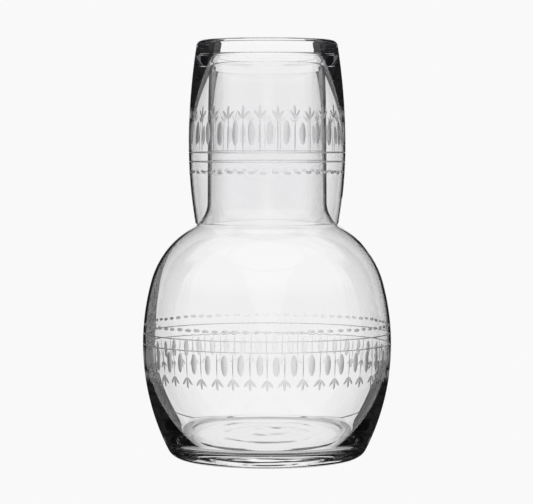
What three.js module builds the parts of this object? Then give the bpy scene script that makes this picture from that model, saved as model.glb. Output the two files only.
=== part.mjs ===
// A bedside carafe of clear crystal, with a tumbler turned over on its neck as a lid.
// Two pieces of glass: the carafe, blown with a round belly, a waisted shoulder and a straight neck,
// and the barrel-shaped tumbler, which stands mouth down on the carafe's shoulder and lifts straight off.
// Millimetres, +Z up, the origin on the axis at the underside of the carafe's base.

import * as THREE from "three";

// Carafe, outside
const bellyRadius = 58.9; // at the widest
const bellyHeight = 54.5; // of the widest place above the base
const bellySweep = 112; // radius of the belly's upright curve
const baseCorner = 8.2; // radius between belly and base
const shoulderStart = 84; // height where the tighter shoulder curve takes over
const shoulderSweep = 43.5; // radius of the shoulder's upright curve
const neckRadius = 28.3; // at the foot of the neck
const neckFlare = 13.4; // radius of the hollow curve from shoulder to neck
const neckTaper = 0.4; // how much the neck narrows up to its lip

// Carafe, glass
const bodyWall = 1.05; // neck foot, shoulder and belly
const lipWall = 1.5; // at the fire-polished lip
const heelSweep = 75; // inner curve below the belly, tighter than the outer one, so the wall thickens
const heelCorner = 3; // radius between inner wall and floor
const floorThickness = 8; // at the middle of the base
const floorDish = 0.5; // how far the floor sinks towards its middle

// Tumbler, in its upright pose with the foot down
const tumblerHeight = 86.7;
const tumblerBase = 7; // glass under its floor
const tumblerDish = 0.2; // how far its floor sinks towards the middle
const footCorner = 3.2; // radius between foot and side
const footTaper = 4.1; // how much narrower the side is at the foot than at the bulge
const bulgeHeight = 50.1; // of the widest place above the foot
const bulge = 3.05; // how much the side bellies out from the mouth
const rimWall = 0.9; // at the mouth, and up to the bulge
const wellCorner = 2.5; // radius between inner wall and floor

// Clearances between the two pieces
const neckGap = 4.9; // from the neck to the tumbler's mouth, all round
const lipSideGap = 1.7; // from the lip to the thick wall near the tumbler's base
const lipClearance = 3.8; // from the lip to the tumbler's floor
const seatGap = 0.3; // from the tumbler's rim to the shoulder that carries it

// Fineness of the turned surfaces
const facets = 60; // sides around the axis
const chordError = 0.08; // how far a curve's chords may lie from it

const rightAngle = Math.PI / 2;
const point = (radius, height) => new THREE.Vector2(radius, height);

// A circle's centre, placed from another point at an angle above the horizontal.
const along = (from, distance, angle) =>
  point(from.x + distance * Math.cos(angle), from.y + distance * Math.sin(angle));

// Points on an arc, with as many chords as its radius needs.
function arc(centre, radius, from, to) {
  const step = 2 * Math.acos(1 - Math.min(1, chordError / radius));
  const chords = Math.max(2, Math.ceil(Math.abs(to - from) / step));
  const curve = new THREE.EllipseCurve(centre.x, centre.y, radius, radius, from, to, to < from);
  return curve.getPoints(chords);
}

// A floor from its edge to the axis, sinking by dish in the middle.
function dishedFloor(edge, dish) {
  const radius = (edge.x ** 2 + dish ** 2) / (2 * dish);
  const centre = point(0, edge.y - dish + radius);
  const start = Math.asin((edge.y - centre.y) / radius);
  return arc(centre, radius, start, -rightAngle);
}

// Radius of the circle that leaves an upright line and drifts by offset over a length along it.
const sweepFor = (length, offset) => (length ** 2 + offset ** 2) / (2 * offset);

// A round corner between an upright sweep and a level floor below the sweep's centre.
function cornerOnFloor(sweepCentre, sweepRadius, cornerRadius, floorHeight) {
  const drop = sweepCentre.y - floorHeight - cornerRadius;
  const angle = -Math.asin(drop / (sweepRadius - cornerRadius));
  return { centre: along(sweepCentre, sweepRadius - cornerRadius, angle), angle };
}

// Turns a profile that starts and ends on the axis into a solid of revolution about Z.
function turned(profile) {
  const tooClose = 1e-4;
  const points = profile.filter((p, i) => i === 0 || p.distanceTo(profile[i - 1]) > tooClose);
  points[0].x = 0;
  points[points.length - 1].x = 0;
  return new THREE.LatheGeometry(points, facets).rotateX(rightAngle);
}

// Carafe: the outer curves are one chain of tangent arcs, from the base up to the neck.
const bellyCentre = point(bellyRadius - bellySweep, bellyHeight);
const base = cornerOnFloor(bellyCentre, bellySweep, baseCorner, 0);
const shoulderAngle = Math.asin((shoulderStart - bellyHeight) / bellySweep);
const shoulderCentre = along(bellyCentre, bellySweep - shoulderSweep, shoulderAngle);
const flareReach = neckRadius + neckFlare - shoulderCentre.x;
const flareRise = Math.sqrt((shoulderSweep + neckFlare) ** 2 - flareReach ** 2);
const flareCentre = point(neckRadius + neckFlare, shoulderCentre.y + flareRise);
const flareAngle = Math.atan2(flareRise, flareReach);

// Height at which a round rim of that radius rests on the shoulder, its middle a reach away from the glass.
function seatHeight(rimRadius, reach) {
  const turn = along(shoulderCentre, shoulderSweep + reach, flareAngle);
  if (rimRadius < turn.x) {
    return flareCentre.y - Math.sqrt((neckFlare - reach) ** 2 - (flareCentre.x - rimRadius) ** 2);
  }
  return shoulderCentre.y + Math.sqrt((shoulderSweep + reach) ** 2 - (rimRadius - shoulderCentre.x) ** 2);
}

// Tumbler: a side of two tangent sweeps that meet at the bulge, and a round rim at the mouth.
const rimHalf = rimWall / 2;
const mouthRadius = neckRadius + neckGap + rimHalf; // to the middle of the rim
const bulgeRadius = mouthRadius + bulge + rimHalf; // outside, at the widest
const rimHeight = tumblerHeight - rimHalf; // of the middle of the rim above the foot
const mouthSweep = sweepFor(rimHeight - bulgeHeight, bulge); // along the middle of the wall
const mouthAngle = Math.asin((rimHeight - bulgeHeight) / mouthSweep);
const mouthCentre = point(bulgeRadius - rimHalf - mouthSweep, bulgeHeight);
const footSweep = sweepFor(bulgeHeight, footTaper);
const footCentre = point(bulgeRadius - footSweep, bulgeHeight);
const foot = cornerOnFloor(footCentre, footSweep, footCorner, 0);

// Where the two pieces stand: the rim's seat sets the tumbler's place, and the neck ends below its floor.
const tumblerTop = seatHeight(mouthRadius, rimHalf + seatGap) + rimHeight;
const lipTop = tumblerTop - tumblerBase - lipClearance;
const lipHalf = lipWall / 2;
const lipRadius = neckRadius - neckTaper;
const lipCentre = point(lipRadius - lipHalf, lipTop - lipHalf);

function carafeProfile() {
  const innerBelly = bellyRadius - bodyWall;
  const heelCentre = point(innerBelly - heelSweep, bellyHeight);
  const heel = cornerOnFloor(heelCentre, heelSweep, heelCorner, floorThickness + floorDish);
  return [
    point(0, 0),
    ...arc(base.centre, baseCorner, -rightAngle, base.angle),
    ...arc(bellyCentre, bellySweep, base.angle, 0),
    ...arc(bellyCentre, bellySweep, 0, shoulderAngle),
    ...arc(shoulderCentre, shoulderSweep, shoulderAngle, flareAngle),
    ...arc(flareCentre, neckFlare, flareAngle + Math.PI, Math.PI),
    ...arc(lipCentre, lipHalf, 0, Math.PI),
    ...arc(flareCentre, neckFlare + bodyWall, Math.PI, flareAngle + Math.PI),
    ...arc(shoulderCentre, shoulderSweep - bodyWall, flareAngle, shoulderAngle),
    ...arc(bellyCentre, bellySweep - bodyWall, shoulderAngle, 0),
    ...arc(heelCentre, heelSweep, 0, heel.angle),
    ...arc(heel.centre, heelCorner, heel.angle, -rightAngle),
    ...dishedFloor(point(heel.centre.x, floorThickness + floorDish), floorDish),
  ];
}

function tumblerProfile() {
  const innerBulge = bulgeRadius - rimWall;
  const lipLevel = tumblerBase + lipClearance + lipHalf; // of the neck's lip, above the foot
  const wellSweep = sweepFor(bulgeHeight - lipLevel, innerBulge - lipRadius - lipSideGap);
  const wellCentre = point(innerBulge - wellSweep, bulgeHeight);
  const well = cornerOnFloor(wellCentre, wellSweep, wellCorner, tumblerBase);
  const rimCentre = along(mouthCentre, mouthSweep, mouthAngle);
  return [
    point(0, 0),
    ...arc(foot.centre, footCorner, -rightAngle, foot.angle),
    ...arc(footCentre, footSweep, foot.angle, 0),
    ...arc(mouthCentre, mouthSweep + rimHalf, 0, mouthAngle),
    ...arc(rimCentre, rimHalf, mouthAngle, mouthAngle + Math.PI),
    ...arc(mouthCentre, mouthSweep - rimHalf, mouthAngle, 0),
    ...arc(wellCentre, wellSweep, 0, well.angle),
    ...arc(well.centre, wellCorner, well.angle, -rightAngle),
    ...dishedFloor(point(well.centre.x, tumblerBase), tumblerDish),
  ];
}

// Clear, colourless crystal, fire-polished all over.
function crystal() {
  return new THREE.MeshStandardMaterial({
    color: 0xf1f3f3,
    roughness: 0.04,
    metalness: 0,
    transparent: true,
    opacity: 0.35,
  });
}

function glassPiece(name, profile) {
  const mesh = new THREE.Mesh(turned(profile), crystal());
  mesh.name = name;
  return mesh;
}

const carafe = glassPiece("carafe", carafeProfile());

const tumbler = glassPiece("tumbler", tumblerProfile());
const tumblerOverNeck = new THREE.Group();
tumblerOverNeck.add(tumbler);
tumblerOverNeck.rotation.x = Math.PI; // mouth down
tumblerOverNeck.position.z = tumblerTop;

const carafeSet = new THREE.Group();
carafeSet.name = "carafe_with_tumbler";
carafeSet.add(carafe, tumblerOverNeck);

export default carafeSet;
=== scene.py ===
import math
import random

import bpy
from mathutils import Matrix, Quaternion, Vector


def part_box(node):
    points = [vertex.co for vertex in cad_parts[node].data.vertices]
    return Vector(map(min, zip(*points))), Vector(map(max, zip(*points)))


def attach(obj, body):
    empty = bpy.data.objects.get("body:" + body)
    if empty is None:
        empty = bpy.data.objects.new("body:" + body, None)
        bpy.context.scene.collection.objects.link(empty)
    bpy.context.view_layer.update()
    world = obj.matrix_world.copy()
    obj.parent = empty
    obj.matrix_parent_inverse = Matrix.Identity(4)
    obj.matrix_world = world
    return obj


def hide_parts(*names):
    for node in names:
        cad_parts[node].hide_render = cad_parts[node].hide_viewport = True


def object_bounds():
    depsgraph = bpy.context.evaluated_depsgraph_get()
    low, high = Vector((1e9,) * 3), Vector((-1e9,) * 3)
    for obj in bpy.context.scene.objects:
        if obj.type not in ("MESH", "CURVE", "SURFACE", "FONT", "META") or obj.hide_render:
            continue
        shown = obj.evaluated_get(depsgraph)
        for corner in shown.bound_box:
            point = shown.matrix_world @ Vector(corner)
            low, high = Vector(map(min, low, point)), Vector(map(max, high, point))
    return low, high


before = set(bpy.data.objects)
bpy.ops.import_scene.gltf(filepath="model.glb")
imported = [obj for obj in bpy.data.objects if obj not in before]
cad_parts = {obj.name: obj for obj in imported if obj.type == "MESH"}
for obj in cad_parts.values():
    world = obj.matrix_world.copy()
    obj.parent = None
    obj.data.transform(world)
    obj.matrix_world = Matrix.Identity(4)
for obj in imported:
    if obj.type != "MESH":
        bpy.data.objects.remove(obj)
cadLow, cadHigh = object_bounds()
print("frame loaded:", ", ".join(sorted(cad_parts)))

mm = 0.001
quarterTurn = math.pi / 2
fullTurn = 2 * math.pi


def deselectAll():
    if bpy.context.mode != "OBJECT":
        bpy.ops.object.mode_set(mode="OBJECT")
    bpy.ops.object.select_all(action="DESELECT")


def selectOnly(piece):
    deselectAll()
    piece.select_set(True)
    bpy.context.view_layer.objects.active = piece


# camera at the photograph's viewing angle

cameraSetup = {
    "place": (-0.0003, -1.155, 0.15),
    "target": (-0.0003, 0, 0.0979),
    "sensor": 36,  # millimetres, across the picture
    "seenWidth": 0.2528,  # metres of the object's plane across the picture
}


def makeCamera():
    place = Vector(cameraSetup["place"])
    aim = Vector(cameraSetup["target"]) - place
    deselectAll()
    bpy.ops.object.camera_add(location=place, rotation=aim.to_track_quat("-Z", "Y").to_euler())
    camera = bpy.context.object
    camera.name = "photoCamera"
    camera.data.sensor_fit = "HORIZONTAL"
    camera.data.sensor_width = cameraSetup["sensor"]
    camera.data.lens = cameraSetup["sensor"] * aim.length / cameraSetup["seenWidth"]
    bpy.context.scene.camera = camera
    return camera


camera = makeCamera()
print("camera ready, lens", round(camera.data.lens), "mm")


# materials

def newMaterial(name):
    material = bpy.data.materials.new(name)
    material.use_nodes = True
    return material, material.node_tree.nodes, material.node_tree.links


# uneven height over the glass: slow waves from blowing, or fine marks from a wheel
def glassWaves():
    group = bpy.data.node_groups.new("glassWaves", "ShaderNodeTree")
    for socketName, value in (("Waves Per Metre", 40), ("Stretch", 1), ("Detail", 1)):
        socket = group.interface.new_socket(socketName, in_out="INPUT", socket_type="NodeSocketFloat")
        socket.default_value = value
    group.interface.new_socket("Height", in_out="OUTPUT", socket_type="NodeSocketFloat")
    nodes, links = group.nodes, group.links
    given = nodes.new("NodeGroupInput")
    result = nodes.new("NodeGroupOutput")
    place = nodes.new("ShaderNodeTexCoord")
    upright = nodes.new("ShaderNodeCombineXYZ")  # scale of the pattern, drawn out along the height
    upright.inputs["X"].default_value = 1
    upright.inputs["Y"].default_value = 1
    scaled = nodes.new("ShaderNodeVectorMath")
    scaled.operation = "MULTIPLY"
    noise = nodes.new("ShaderNodeTexNoise")
    links.new(given.outputs["Stretch"], upright.inputs["Z"])
    links.new(place.outputs["Object"], scaled.inputs[0])
    links.new(upright.outputs["Vector"], scaled.inputs[1])
    links.new(scaled.outputs["Vector"], noise.inputs["Vector"])
    links.new(given.outputs["Waves Per Metre"], noise.inputs["Scale"])
    links.new(given.outputs["Detail"], noise.inputs["Detail"])
    links.new(noise.outputs["Fac"], result.inputs["Height"])
    return group


glassFinish = {
    "index": 1.52,
    "blownWaves": 45,  # for each metre
    "blownStretch": 1,
    "blownDetail": 1,
    "blownHeight": 0.012 * mm,
    "wheelMarks": 2600,  # for each metre
    "markStretch": 0.25,  # below 1 the marks run along the height
    "markDetail": 2,
    "markHeight": 0.03 * mm,
    "markRange": (0.3, 0.7),  # heights of the marks between which the roughness changes
    "groundRange": (0.6, 0.8),  # roughness where the wheel left the cut smoothest and coarsest
}

waves = glassWaves()


def glassMaterial(name, density, stretch, detail, height):
    material, nodes, links = newMaterial(name)
    glass = nodes["Principled BSDF"]
    glass.inputs["Base Color"].default_value = (1, 1, 1, 1)
    glass.inputs["Roughness"].default_value = 0
    glass.inputs["IOR"].default_value = glassFinish["index"]
    glass.inputs["Transmission Weight"].default_value = 1
    uneven = nodes.new("ShaderNodeGroup")
    uneven.name = "uneven"
    uneven.node_tree = waves
    uneven.inputs["Waves Per Metre"].default_value = density
    uneven.inputs["Stretch"].default_value = stretch
    uneven.inputs["Detail"].default_value = detail
    bump = nodes.new("ShaderNodeBump")
    bump.inputs["Distance"].default_value = height
    links.new(uneven.outputs["Height"], bump.inputs["Height"])
    links.new(bump.outputs["Normal"], glass.inputs["Normal"])
    return material


# fire-polished glass, smooth all over
def crystalMaterial():
    finish = glassFinish
    return glassMaterial(
        "clearCrystal",
        finish["blownWaves"],
        finish["blownStretch"],
        finish["blownDetail"],
        finish["blownHeight"],
    )


# ground glass, rougher where the marks stand higher
def wheelCutMaterial():
    finish = glassFinish
    material = glassMaterial(
        "wheelCut",
        finish["wheelMarks"],
        finish["markStretch"],
        finish["markDetail"],
        finish["markHeight"],
    )
    nodes, links = material.node_tree.nodes, material.node_tree.links
    ground = nodes.new("ShaderNodeMapRange")
    ground.inputs["From Min"].default_value = finish["markRange"][0]
    ground.inputs["From Max"].default_value = finish["markRange"][1]
    ground.inputs["To Min"].default_value = finish["groundRange"][0]
    ground.inputs["To Max"].default_value = finish["groundRange"][1]
    links.new(nodes["uneven"].outputs["Height"], ground.inputs["Value"])
    links.new(ground.outputs["Result"], nodes["Principled BSDF"].inputs["Roughness"])
    return material


crystal = crystalMaterial()
wheelCut = wheelCutMaterial()
print("materials ready")


# outlines, drawn in the plane of x and z and spun about the axis

outlineStep = {
    "length": 2.4 * mm,  # longest step along an arc
    "turn": math.radians(5),  # largest turn between steps
    "leastTurn": math.radians(0.8),  # no finer than this on a long sweep
    "fewest": 2,  # steps on any arc
    "floorFineness": 3,  # times finer on a floor
    "weld": 0.001 * mm,
    "facets": 224,  # sides around the axis
}


def startOutline(name, radius, height):
    deselectAll()
    bpy.ops.mesh.primitive_plane_add(size=mm, location=(radius, 0, height))
    bpy.context.object.name = name
    bpy.ops.object.mode_set(mode="EDIT")
    bpy.ops.mesh.merge(type="CENTER")
    return Vector((radius, 0, height))


def lineTo(pen, radius, height):
    end = Vector((radius, 0, height))
    bpy.ops.mesh.extrude_region_move(TRANSFORM_OT_translate={"value": end - pen})
    return end


def onCircle(centre, radius, angle):
    return centre + radius * Vector((math.cos(angle), 0, math.sin(angle)))


def arcTo(pen, centre, angle):
    arm = pen - centre
    turn = (angle - math.atan2(arm.z, arm.x) + math.pi) % fullTurn - math.pi  # the short way round
    steps = max(
        math.ceil(abs(turn) * arm.length / outlineStep["length"]),
        math.ceil(abs(turn) / outlineStep["turn"]),
    )
    steps = min(steps, math.ceil(abs(turn) / outlineStep["leastTurn"]))
    steps = max(steps, outlineStep["fewest"])
    bpy.ops.mesh.spin(steps=steps, angle=turn, center=centre, axis=(0, 1, 0))
    return onCircle(centre, arm.length, angle)


# from the edge of a floor to the axis, sinking by dish, with steps down and low swells in rings
def floorTo(pen, dish, ledges, swells):
    edge = pen.x
    top = pen.z
    steps = math.ceil(edge / outlineStep["length"] * outlineStep["floorFineness"])
    for step in range(1, steps + 1):
        radius = edge * (1 - step / steps)
        height = top - dish * (1 - (radius / edge) ** 2)
        for middle, width, drop in ledges:
            down = min(1, max(0, (middle - radius) / width + 0.5))
            height -= drop * (1 - math.cos(math.pi * down)) / 2
        for middle, width, rise in swells:
            across = (radius - middle) / width
            if abs(across) < 0.5:
                height += rise * (1 + math.cos(fullTurn * across)) / 2
        pen = lineTo(pen, radius, height)
    return pen


def spinOutline():
    bpy.ops.mesh.select_all(action="SELECT")
    bpy.ops.mesh.spin(steps=outlineStep["facets"], angle=fullTurn, center=(0, 0, 0), axis=(0, 0, 1))
    bpy.ops.mesh.select_all(action="SELECT")
    bpy.ops.mesh.remove_doubles(threshold=outlineStep["weld"])
    bpy.ops.mesh.normals_make_consistent(inside=False)
    bpy.ops.object.mode_set(mode="OBJECT")
    bpy.ops.object.transform_apply(location=True, rotation=True, scale=True)
    piece = bpy.context.object
    piece.data.materials.append(crystal)
    piece.data.materials.append(wheelCut)
    return piece


# soft hollows over a floor, fading out towards its edge
def unevenFloor(piece, edge, top, strength, pitch):
    selectOnly(piece)
    group = piece.vertex_groups.new(name="floor")
    for vertex in piece.data.vertices:
        radius = math.hypot(vertex.co.x, vertex.co.y)
        if radius < edge and mm < vertex.co.z < top:  # not the underside, and not the neck
            group.add([vertex.index], (1 - (radius / edge) ** 2) ** 2, "REPLACE")
    clouds = bpy.data.textures.new("softHollows", "CLOUDS")
    clouds.noise_scale = pitch
    clouds.noise_depth = 1
    modifier = piece.modifiers.new("hollows", "DISPLACE")
    modifier.texture = clouds
    modifier.texture_coords = "LOCAL"
    modifier.direction = "Z"
    modifier.strength = strength
    modifier.vertex_group = group.name
    bpy.ops.object.modifier_apply(modifier=modifier.name)


def cornerOnFloor(sweepCentre, sweep, corner, floor):
    angle = -math.asin((sweepCentre.z - floor - corner) / (sweep - corner))
    return onCircle(sweepCentre, sweep - corner, angle), angle


def sweepFor(length, offset):
    return (length**2 + offset**2) / (2 * offset)


# carafe

carafeShape = {
    "bellyHeight": 54.5 * mm,
    "bellySweep": 112 * mm,
    "baseCorner": 8.2 * mm,
    "shoulderStart": 84 * mm,
    "shoulderSweep": 43.5 * mm,
    "neckRadius": 28.3 * mm,
    "neckFlare": 13.4 * mm,
    "neckTaper": 0.4 * mm,
    "bodyWall": 1.05 * mm,
    "lipWall": 1.5 * mm,
    "heelSweep": 75 * mm,
    "heelCorner": 3 * mm,
    "floorThickness": 8 * mm,
    "floorDish": 0.5 * mm,
    "innerDish": 0.4 * mm,  # what the floor sinks by inside its ledge
    "ledges": ((36.3 * mm, 3.2 * mm, 0.2 * mm),),  # steps down on the floor: radius, width, drop
    "swells": (  # rings on the floor: radius, width, rise
        (37.8 * mm, 4.6 * mm, 0.3 * mm),
        (24.5 * mm, 8 * mm, 0.14 * mm),
        (9 * mm, 9 * mm, 0.06 * mm),
    ),
    "hollows": 0.26 * mm,  # soft unevenness of the floor
    "hollowPitch": 11 * mm,
}

carafeBand = {
    "motifs": 46,
    "phase": math.radians(0.45),
    "rings": (54.9 * mm, 59.9 * mm),
    "ringDepth": 0.25 * mm,
    "ovalMiddle": 48.9 * mm,
    "ovalSize": (3.2 * mm, 10.8 * mm, 0.4 * mm),
    "stemEnds": (54.7 * mm, 42.5 * mm),
    "stemSize": (0.55 * mm, 0.2 * mm),
    "leafRoot": 42.75 * mm,
    "leafLength": 5.6 * mm,
    "sideLeafLength": 4.8 * mm,
    "leafWidth": 1.35 * mm,
    "leafDepth": 0.18 * mm,
    "leafSpread": math.radians(36),
    "dashes": 74,
    "dashHeight": 64.1 * mm,
    "dashSize": (3.8 * mm, 1.5 * mm, 0.2 * mm),
}


def carafeCurves():
    shape = carafeShape
    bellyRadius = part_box("carafe")[1].x
    belly = Vector((bellyRadius - shape["bellySweep"], 0, shape["bellyHeight"]))
    base, baseAngle = cornerOnFloor(belly, shape["bellySweep"], shape["baseCorner"], 0)
    shoulderAngle = math.asin((shape["shoulderStart"] - shape["bellyHeight"]) / shape["bellySweep"])
    shoulder = onCircle(belly, shape["bellySweep"] - shape["shoulderSweep"], shoulderAngle)
    reach = shape["neckRadius"] + shape["neckFlare"] - shoulder.x
    rise = math.sqrt((shape["shoulderSweep"] + shape["neckFlare"]) ** 2 - reach**2)
    flare = Vector((shape["neckRadius"] + shape["neckFlare"], 0, shoulder.z + rise))
    heel = Vector((bellyRadius - shape["bodyWall"] - shape["heelSweep"], 0, shape["bellyHeight"]))
    floor = shape["floorThickness"] + shape["floorDish"]
    heelCorner, heelAngle = cornerOnFloor(heel, shape["heelSweep"], shape["heelCorner"], floor)
    return {
        "belly": belly,
        "base": base,
        "baseAngle": baseAngle,
        "shoulder": shoulder,
        "shoulderAngle": shoulderAngle,
        "flare": flare,
        "flareAngle": math.atan2(rise, reach),
        "heel": heel,
        "heelCorner": heelCorner,
        "heelAngle": heelAngle,
    }


carafeCurve = carafeCurves()


def makeCarafe():
    shape = carafeShape
    curve = carafeCurve
    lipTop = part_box("carafe")[1].z
    lipRadius = shape["neckRadius"] - shape["neckTaper"]
    lipHalf = shape["lipWall"] / 2
    lip = Vector((lipRadius - lipHalf, 0, lipTop - lipHalf))
    floorTop = shape["floorThickness"] + shape["floorDish"]
    pen = startOutline("carafeGlass", 0, 0)
    pen = lineTo(pen, curve["base"].x, 0)
    pen = arcTo(pen, curve["base"], curve["baseAngle"])
    pen = arcTo(pen, curve["belly"], 0)
    pen = arcTo(pen, curve["belly"], curve["shoulderAngle"])
    pen = arcTo(pen, curve["shoulder"], curve["flareAngle"])
    pen = arcTo(pen, curve["flare"], math.pi)
    pen = lineTo(pen, lipRadius, lip.z)
    pen = arcTo(pen, lip, quarterTurn)
    pen = arcTo(pen, lip, math.pi)
    pen = lineTo(pen, shape["neckRadius"] - shape["bodyWall"], curve["flare"].z)
    pen = arcTo(pen, curve["flare"], curve["flareAngle"] + math.pi)
    pen = arcTo(pen, curve["shoulder"], curve["shoulderAngle"])
    pen = arcTo(pen, curve["belly"], 0)
    pen = arcTo(pen, curve["heel"], curve["heelAngle"])
    pen = arcTo(pen, curve["heelCorner"], -quarterTurn)
    pen = floorTo(pen, shape["innerDish"], shape["ledges"], shape["swells"])
    piece = spinOutline()
    unevenFloor(piece, curve["heelCorner"].x, 2 * floorTop, shape["hollows"], shape["hollowPitch"])
    return piece


# tumbler, drawn upright with its foot at the bottom and then turned over

tumblerShape = {
    "height": 86.7 * mm,
    "base": 7 * mm,
    "dish": 0.2 * mm,
    "swells": ((20 * mm, 8 * mm, 0.03 * mm),),
    "footCorner": 3.2 * mm,
    "footTaper": 4.1 * mm,
    "bulgeHeight": 50.1 * mm,
    "bulge": 3.05 * mm,
    "rimWall": 0.9 * mm,
    "wellCorner": 2.5 * mm,
    "lipSideGap": 1.7 * mm,
    "lipClearance": 3.8 * mm,
}

tumblerBand = {
    "motifs": 29,
    "phase": math.radians(-1.6),
    "rings": (53.1 * mm, 57.4 * mm),
    "ringDepth": 0.25 * mm,
    "ovalMiddle": 44.0 * mm,
    "ovalSize": (3.1 * mm, 11.7 * mm, 0.4 * mm),
    "stemEnds": (52.9 * mm, 37.2 * mm),
    "stemSize": (0.55 * mm, 0.2 * mm),
    "leafRoot": 37.3 * mm,
    "leafLength": 6.2 * mm,
    "sideLeafLength": 4.8 * mm,
    "leafWidth": 1.2 * mm,
    "leafDepth": 0.19 * mm,
    "leafSpread": math.radians(36),
    "dashes": 43,
    "dashHeight": 62.3 * mm,
    "dashSize": (3.8 * mm, 1.5 * mm, 0.2 * mm),
}


def tumblerCurves():
    shape = tumblerShape
    half = shape["rimWall"] / 2
    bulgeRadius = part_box("tumbler")[1].x
    rimHeight = shape["height"] - half
    mouthSweep = sweepFor(rimHeight - shape["bulgeHeight"], shape["bulge"])
    mouth = Vector((bulgeRadius - half - mouthSweep, 0, shape["bulgeHeight"]))
    mouthAngle = math.asin((rimHeight - shape["bulgeHeight"]) / mouthSweep)
    footSweep = sweepFor(shape["bulgeHeight"], shape["footTaper"])
    side = Vector((bulgeRadius - footSweep, 0, shape["bulgeHeight"]))
    foot, footAngle = cornerOnFloor(side, footSweep, shape["footCorner"], 0)
    lipHalf = carafeShape["lipWall"] / 2
    lipLevel = shape["base"] + shape["lipClearance"] + lipHalf
    wellRadius = carafeShape["neckRadius"] - carafeShape["neckTaper"] + shape["lipSideGap"]
    innerBulge = bulgeRadius - shape["rimWall"]
    wellSweep = sweepFor(shape["bulgeHeight"] - lipLevel, innerBulge - wellRadius)
    well = Vector((innerBulge - wellSweep, 0, shape["bulgeHeight"]))
    wellCorner, wellAngle = cornerOnFloor(well, wellSweep, shape["wellCorner"], shape["base"])
    return {
        "bulgeRadius": bulgeRadius,
        "mouth": mouth,
        "mouthSweep": mouthSweep,
        "mouthAngle": mouthAngle,
        "side": side,
        "foot": foot,
        "footAngle": footAngle,
        "well": well,
        "wellCorner": wellCorner,
        "wellAngle": wellAngle,
    }


tumblerCurve = tumblerCurves()


def makeTumbler():
    shape = tumblerShape
    curve = tumblerCurve
    rim = onCircle(curve["mouth"], curve["mouthSweep"], curve["mouthAngle"])
    pen = startOutline("tumblerGlass", 0, 0)
    pen = lineTo(pen, curve["foot"].x, 0)
    pen = arcTo(pen, curve["foot"], curve["footAngle"])
    pen = arcTo(pen, curve["side"], 0)
    pen = arcTo(pen, curve["mouth"], curve["mouthAngle"])
    pen = arcTo(pen, rim, curve["mouthAngle"] + quarterTurn)
    pen = arcTo(pen, rim, curve["mouthAngle"] + math.pi)
    pen = arcTo(pen, curve["mouth"], 0)
    pen = arcTo(pen, curve["well"], curve["wellAngle"])
    pen = arcTo(pen, curve["wellCorner"], -quarterTurn)
    pen = floorTo(pen, shape["dish"], (), shape["swells"])
    return spinOutline()


# a place on the outer wall at a height, and how far the wall leans back there

def wallOfCarafe(height):
    belly = carafeCurve["belly"]
    angle = math.asin((height - belly.z) / carafeShape["bellySweep"])
    return onCircle(belly, carafeShape["bellySweep"], angle), angle


def wallOfTumbler(height):
    centre = tumblerCurve["mouth"] if height > tumblerShape["bulgeHeight"] else tumblerCurve["side"]
    radius = tumblerCurve["bulgeRadius"] - centre.x
    angle = math.asin((height - centre.z) / radius)
    return onCircle(centre, radius, angle), angle


# cutters for the wheel-cut band

handCut = {
    "seed": 11,
    "turn": math.radians(0.5),  # places around the axis wander this much
    "shift": 0.25 * mm,  # heights wander this much
    "tilt": math.radians(2.5),  # cuts lean this much
    "stemSteadiness": 3,  # times less for stems
    "size": 0.08,  # share by which cuts are larger or smaller
    "smooth": math.radians(28),  # edges flatter than this are shaded smooth
}

cutterForm = {
    "lensOffset": 0.5,  # how far outside the glass a lens stands, as a share of its depth radius
    "lensSides": 16,
    "lensRings": 10,
    "squareSides": 4,  # of a stem's or ring's section, which stands on its corner
}


def lensCutter(name, width, length, depth):
    deselectAll()
    bpy.ops.mesh.primitive_uv_sphere_add(
        segments=cutterForm["lensSides"],
        ring_count=cutterForm["lensRings"],
        radius=1,
        location=(0, 0, 0),
    )
    cutter = bpy.context.object
    cutter.name = name
    offset = cutterForm["lensOffset"]
    section = math.sqrt(1 - offset**2)
    depthRadius = depth / (1 - offset)
    bpy.ops.object.mode_set(mode="EDIT")
    bpy.ops.mesh.select_all(action="SELECT")
    bpy.ops.transform.resize(value=(depthRadius, width / 2 / section, length / 2 / section))
    bpy.ops.transform.translate(value=(offset * depthRadius, 0, 0))
    bpy.ops.object.mode_set(mode="OBJECT")
    return cutter


def stemCutter(name, width, length, depth):
    deselectAll()
    bpy.ops.mesh.primitive_cylinder_add(
        vertices=cutterForm["squareSides"],
        radius=1,
        depth=1,
        location=(0, 0, 0),
    )
    cutter = bpy.context.object
    cutter.name = name
    bpy.ops.object.mode_set(mode="EDIT")
    bpy.ops.mesh.select_all(action="SELECT")
    bpy.ops.transform.resize(value=(depth, width / 2, length))
    bpy.ops.object.mode_set(mode="OBJECT")
    return cutter


# for a V cut right round the wall
def ringCutter(wall, height, depth):
    spot = wall(height)[0]
    deselectAll()
    bpy.ops.mesh.primitive_torus_add(
        major_segments=outlineStep["facets"],
        minor_segments=cutterForm["squareSides"],
        major_radius=spot.x,
        minor_radius=depth,
        location=(0, 0, height),
    )
    return bpy.context.object


# a copy of a cutter on the wall, at a height and an angle around the axis
def placeCut(cutter, wall, height, around, spin, size):
    spot, lean = wall(height)
    copy = cutter.copy()
    copy.data = cutter.data.copy()
    bpy.context.collection.objects.link(copy)
    aboutZ = Quaternion((0, 0, 1), around - quarterTurn)
    aboutY = Quaternion((0, 1, 0), -lean)
    aboutX = Quaternion((1, 0, 0), spin)
    copy.rotation_mode = "QUATERNION"
    copy.rotation_quaternion = aboutZ @ aboutY @ aboutX
    copy.location = aboutZ @ spot
    copy.scale = (1, size, size)
    return copy


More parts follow.
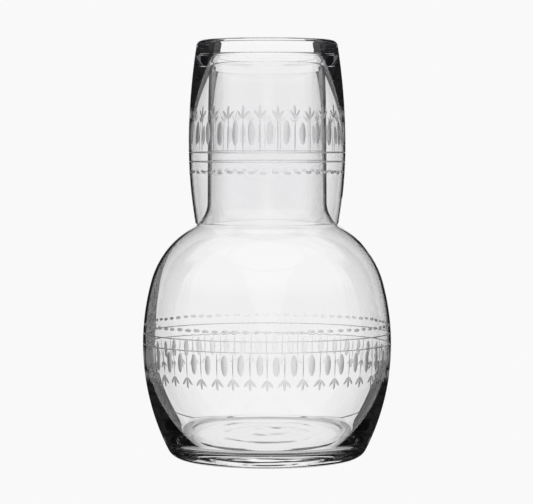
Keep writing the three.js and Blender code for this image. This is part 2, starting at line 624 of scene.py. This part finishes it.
def joinCuts(name, cuts):
    deselectAll()
    for cut in cuts:
        cut.select_set(True)
    bpy.context.view_layer.objects.active = cuts[0]
    bpy.ops.object.join()
    bpy.ops.object.transform_apply(location=True, rotation=True, scale=True)
    joined = bpy.context.object
    joined.name = name
    joined.data.materials.clear()
    joined.data.materials.append(wheelCut)
    return joined


def carve(piece, cuts):
    tool = joinCuts("wheelCuts", cuts)
    selectOnly(piece)
    modifier = piece.modifiers.new("carve", "BOOLEAN")
    modifier.operation = "DIFFERENCE"
    modifier.solver = "MANIFOLD"
    modifier.object = tool
    bpy.ops.object.modifier_apply(modifier=modifier.name)
    bpy.data.objects.remove(tool)


def cutBand(piece, band, wall):
    chance = random.Random(handCut["seed"] + band["motifs"])

    def wander(amount):
        return chance.uniform(-amount, amount)

    stemTop, stemEnd = band["stemEnds"]
    stemWidth, stemDepth = band["stemSize"]
    leafWidth, leafDepth = band["leafWidth"], band["leafDepth"]
    oval = lensCutter("ovalCutter", *band["ovalSize"])
    stem = stemCutter("stemCutter", stemWidth, stemTop - stemEnd, stemDepth)
    leaf = lensCutter("leafCutter", leafWidth, band["leafLength"], leafDepth)
    sideLeaf = lensCutter("sideLeafCutter", leafWidth, band["sideLeafLength"], leafDepth)
    dash = lensCutter("dashCutter", *band["dashSize"])
    stemMiddle = (stemTop + stemEnd) / 2
    pitch = fullTurn / band["motifs"]
    plainCuts, middleLeaves, leftLeaves, rightLeaves = [], [], [], []
    for i in range(band["motifs"]):
        around = band["phase"] + i * pitch + wander(handCut["turn"])
        size = 1 + wander(handCut["size"])
        low = wander(handCut["shift"])
        stemTilt = wander(handCut["tilt"]) / handCut["stemSteadiness"]
        plainCuts.append(placeCut(stem, wall, stemMiddle, around, stemTilt, 1))
        root = band["leafRoot"] + low
        middle = root - band["leafLength"] / 2
        middleLeaves.append(placeCut(leaf, wall, middle, around, wander(handCut["tilt"]), size))
        for leaves, side in ((leftLeaves, -1), (rightLeaves, 1)):
            spread = side * (band["leafSpread"] + wander(handCut["tilt"]))
            out = math.sin(spread) * band["sideLeafLength"] / 2
            down = math.cos(spread) * band["sideLeafLength"] / 2
            spot = wall(root - down)[0]
            leaves.append(placeCut(sideLeaf, wall, root - down, around + out / spot.x, spread, size))
        ovalAround = around + pitch / 2 + wander(handCut["turn"])
        ovalMiddle = band["ovalMiddle"] + low
        plainCuts.append(placeCut(oval, wall, ovalMiddle, ovalAround, wander(handCut["tilt"]), size))
    for i in range(band["dashes"]):
        around = band["phase"] + i * fullTurn / band["dashes"] + wander(handCut["turn"])
        height = band["dashHeight"] + wander(handCut["shift"])
        size = 1 + wander(handCut["size"])
        plainCuts.append(placeCut(dash, wall, height, around, wander(handCut["tilt"]), size))
    for master in (oval, stem, leaf, sideLeaf, dash):
        bpy.data.objects.remove(master)
    rings = [ringCutter(wall, height, band["ringDepth"]) for height in band["rings"]]
    for cuts in (rings, plainCuts, middleLeaves, leftLeaves, rightLeaves):
        carve(piece, cuts)


# smooth glass, with a crisp edge round every cut
def finishGlass(piece):
    selectOnly(piece)
    bpy.ops.object.shade_smooth_by_angle(angle=handCut["smooth"])
    piece.active_material_index = 1  # the wheel-cut slot
    bpy.ops.object.mode_set(mode="EDIT")
    bpy.ops.mesh.select_all(action="DESELECT")
    bpy.ops.object.material_slot_select()
    bpy.ops.mesh.region_to_loop()
    bpy.ops.mesh.mark_sharp()
    bpy.ops.object.mode_set(mode="OBJECT")


carafeGlass = makeCarafe()
print("carafe turned:", len(carafeGlass.data.polygons), "faces")
cutBand(carafeGlass, carafeBand, wallOfCarafe)
finishGlass(carafeGlass)
print("carafe cut:", len(carafeGlass.data.polygons), "faces")

tumblerGlass = makeTumbler()
print("tumbler turned:", len(tumblerGlass.data.polygons), "faces")
cutBand(tumblerGlass, tumblerBand, wallOfTumbler)
finishGlass(tumblerGlass)
selectOnly(tumblerGlass)
tumblerGlass.rotation_euler = (math.pi, 0, 0)
tumblerGlass.location = (0, 0, cadHigh.z)
bpy.ops.object.transform_apply(location=True, rotation=True, scale=True)
print("tumbler cut:", len(tumblerGlass.data.polygons), "faces")

for piece, node in ((carafeGlass, "carafe"), (tumblerGlass, "tumbler")):
    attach(piece, node)
    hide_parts(node)
    piece.visible_shadow = False  # the photograph's floor has no shadow


# studio: pale floor, and round the glass a bright strip behind it between two dark flags

studio = {
    # brightness
    "white": 0.947,
    "table": 0.78,
    "front": 0.45,  # of the room in front
    "dark": 0.015,  # of the flags
    "edgeLine": 0.08,  # of the dark line along the table's far edge
    "shadeLeast": 0.38,  # of the table under the rim of the base
    "shade": (0.98, 0.98, 1.08, 1),  # colour of the flags and of the room in front
    "rebounds": (3, 6),  # from and to how many rebounds inside the glass light fades
    # places and sizes in metres
    "floorSize": 12,
    "floorLevel": -0.0002,
    "under": -0.0006,  # level of the table that the glass sees
    "tableHalf": 0.042,
    "tableBack": 0.042,
    "edgeLineHeight": 0.0011,
    "shadeReach": 0.046,  # of the shade under the base, from the axis
    "shadeLift": 0.0001,  # of that shade over the table
    "shadeSides": 64,
    "shadeEdge": 0.3,  # share of its reach over which the table darkens
    "behind": 0.17,
    "half": 0.07,  # width of the bright strip, from its middle
    "sideAhead": 0.001,  # how far a patch beside the strip stands in front of it
    "sideReach": 0.09,
    "sideHeights": (0.02, 0.115),
    "top": 0.5,
    "bottom": -0.6,
    "above": 1.6,
    "softEdge": 0.5,  # share of the ceiling's reach over which its glow fades
    "flag": 0.8,
    "paling": (0.33, 0.5),  # heights between which the flags pale
    "side": 0.45,
    "sideFront": 0.02,
    "reach": 1.2,
}


# brightness that falls to dark as light rebounds again and again inside the glass
def fadingBrightness(nodes, links, brightness):
    path = nodes.new("ShaderNodeLightPath")
    fade = nodes.new("ShaderNodeMapRange")
    fade.inputs["From Min"].default_value = studio["rebounds"][0]
    fade.inputs["From Max"].default_value = studio["rebounds"][1]
    fade.inputs["To Min"].default_value = brightness
    fade.inputs["To Max"].default_value = studio["dark"]
    links.new(path.outputs["Glossy Depth"], fade.inputs["Value"])
    return fade.outputs["Result"]


def plainGlow(name, brightness):
    material, nodes, links = newMaterial(name)
    nodes.clear()
    glow = nodes.new("ShaderNodeEmission")
    glow.inputs["Color"].default_value = (1, 1, 1, 1)
    output = nodes.new("ShaderNodeOutputMaterial")
    links.new(fadingBrightness(nodes, links, brightness), glow.inputs["Strength"])
    links.new(glow.outputs["Emission"], output.inputs["Surface"])
    return material


# a glow that fades from the middle of its card to its edges
def softGlow(name, brightness, least, size, softEdge):
    material = plainGlow(name, brightness)
    nodes, links = material.node_tree.nodes, material.node_tree.links
    place = nodes.new("ShaderNodeTexCoord")
    spread = nodes.new("ShaderNodeMapping")
    spread.inputs["Scale"].default_value = (2 / size.x, 2 / size.y, 1)
    disc = nodes.new("ShaderNodeTexGradient")
    disc.gradient_type = "SPHERICAL"
    tone = nodes.new("ShaderNodeMapRange")
    tone.interpolation_type = "SMOOTHSTEP"
    tone.inputs["From Max"].default_value = softEdge
    tone.inputs["To Min"].default_value = least / brightness
    links.new(place.outputs["Object"], spread.inputs["Vector"])
    links.new(spread.outputs["Vector"], disc.inputs["Vector"])
    links.new(disc.outputs["Fac"], tone.inputs["Value"])
    links.new(tone.outputs["Result"], nodes["Emission"].inputs["Color"])
    return material


# a glow that is dark on the lower part of a flag and pales towards its top
def flagGlow(name, middle):
    white, dark = studio["white"], studio["dark"]
    material = plainGlow(name, white)
    nodes, links = material.node_tree.nodes, material.node_tree.links
    place = nodes.new("ShaderNodeTexCoord")
    axes = nodes.new("ShaderNodeSeparateXYZ")
    rise = nodes.new("ShaderNodeMapRange")
    rise.inputs["From Min"].default_value = studio["paling"][0] - middle
    rise.inputs["From Max"].default_value = studio["paling"][1] - middle
    tone = nodes.new("ShaderNodeValToRGB")
    tone.color_ramp.interpolation = "EASE"
    tone.color_ramp.elements[0].color = [part * dark / white for part in studio["shade"]]
    links.new(place.outputs["Object"], axes.inputs["Vector"])
    links.new(axes.outputs["Z"], rise.inputs["Value"])
    links.new(rise.outputs["Result"], tone.inputs["Fac"])
    links.new(tone.outputs["Color"], nodes["Emission"].inputs["Color"])
    return material


def makeWorld():
    world = bpy.data.worlds.new("studioWorld")
    bpy.context.scene.world = world
    world.use_nodes = True
    nodes, links = world.node_tree.nodes, world.node_tree.links
    nodes.clear()
    seen = nodes.new("ShaderNodeBackground")
    seen.inputs["Color"].default_value = (1, 1, 1, 1)
    seen.inputs["Strength"].default_value = studio["white"]
    around = nodes.new("ShaderNodeBackground")
    around.inputs["Color"].default_value = studio["shade"]
    path = nodes.new("ShaderNodeLightPath")
    mix = nodes.new("ShaderNodeMixShader")
    output = nodes.new("ShaderNodeOutputWorld")
    links.new(fadingBrightness(nodes, links, studio["front"]), around.inputs["Strength"])
    links.new(path.outputs["Is Camera Ray"], mix.inputs["Fac"])
    links.new(around.outputs["Background"], mix.inputs[1])
    links.new(seen.outputs["Background"], mix.inputs[2])
    links.new(mix.outputs["Shader"], output.inputs["Surface"])


def makeFloor():
    deselectAll()
    bpy.ops.mesh.primitive_plane_add(size=studio["floorSize"], location=(0, 0, studio["floorLevel"]))
    floor = bpy.context.object
    floor.name = "paleFloor"
    material = plainGlow("paleFloor", studio["white"])
    floor.data.materials.append(material)
    floor.visible_transmission = False
    floor.visible_glossy = False


def hangCard(card, name, place, glow, rig):
    card.name = name
    card.location = place
    card.parent = rig
    card.data.materials.append(glow)
    card.visible_camera = False
    card.visible_diffuse = False
    card.visible_shadow = False
    return card


# a card that only the glass sees, standing upright or lying level
def makeCard(name, low, high, brightness, rig, least=None):
    deselectAll()
    low, high = Vector(low), Vector(high)
    size = high - low
    upright = size.z > 0
    sideways = size.x == 0
    turn = (quarterTurn if upright else 0, 0, quarterTurn if sideways else 0)
    bpy.ops.mesh.primitive_plane_add(size=1, rotation=turn)
    card = bpy.context.object
    card.scale = (size.y if sideways else size.x, size.z if upright else size.y, 1)
    bpy.ops.object.transform_apply(location=False, rotation=True, scale=True)
    middle = (low + high) / 2
    if brightness == studio["dark"]:
        glow = flagGlow(name, middle.z)
    elif least:
        glow = softGlow(name, brightness, least, size, studio["softEdge"])
    else:
        glow = plainGlow(name, brightness)
    return hangCard(card, name, middle, glow, rig)


# the table grows darker under the rim of the base
def makeContactShade(rig):
    deselectAll()
    reach = studio["shadeReach"]
    bpy.ops.mesh.primitive_circle_add(vertices=studio["shadeSides"], radius=reach, fill_type="NGON")
    size = 2 * Vector((reach, reach, 0))
    glow = softGlow("contactShade", studio["table"], studio["shadeLeast"], size, studio["shadeEdge"])
    place = (0, 0, studio["under"] + studio["shadeLift"])
    return hangCard(bpy.context.object, "contactShade", place, glow, rig)


def makeStudio():
    makeWorld()
    makeFloor()
    deselectAll()
    bpy.ops.object.empty_add(location=(0, 0, 0))
    rig = bpy.context.object
    rig.name = "studioRig"
    track = rig.constraints.new("LOCKED_TRACK")  # the cards turn to face the camera
    track.target = camera
    track.track_axis = "TRACK_NEGATIVE_Y"
    track.lock_axis = "LOCK_Z"
    half, behind, above = studio["half"], studio["behind"], studio["above"]
    top, bottom, flag, reach = studio["top"], studio["bottom"], studio["flag"], studio["reach"]
    under, tableHalf, tableBack = studio["under"], studio["tableHalf"], studio["tableBack"]
    edgeLineTop = under + studio["edgeLineHeight"]
    sideLow, sideHigh = studio["sideHeights"]
    ahead = behind - studio["sideAhead"]
    white, dark = studio["white"], studio["dark"]
    makeCard("whiteBack", (-half, behind, bottom), (half, behind, top), white, rig)
    makeCard("whiteSide", (half, ahead, sideLow), (studio["sideReach"], ahead, sideHigh), white, rig)
    tableLow, tableHigh = (-tableHalf, -reach, under), (tableHalf, tableBack, under)
    table = makeCard("whiteTable", tableLow, tableHigh, studio["table"], rig)
    table.visible_glossy = False
    makeContactShade(rig).visible_glossy = False
    # a thin dark line along the table's far edge
    makeCard("tableEdge", (-half, tableBack, under), (half, tableBack, edgeLineTop), studio["edgeLine"], rig)
    makeCard("whiteAbove", (-above, -reach, top), (above, reach, top), white, rig, studio["front"])
    makeCard("flagLeft", (-flag, behind, bottom), (-half, behind, top), dark, rig)
    makeCard("flagRight", (half, behind, bottom), (flag, behind, top), dark, rig)
    side, sideFront = studio["side"], studio["sideFront"]
    makeCard("wingLeft", (-side, sideFront, bottom), (-side, behind, top), dark, rig)
    makeCard("wingRight", (side, sideFront, bottom), (side, behind, top), dark, rig)


lightPaths = {"all": 40, "glossy": 32, "through": 32}  # light rebounds often inside the thick bases

makeStudio()
bpy.context.scene.view_settings.view_transform = "Standard"
bpy.context.scene.cycles.max_bounces = lightPaths["all"]
bpy.context.scene.cycles.glossy_bounces = lightPaths["glossy"]
bpy.context.scene.cycles.transmission_bounces = lightPaths["through"]
print("studio ready")
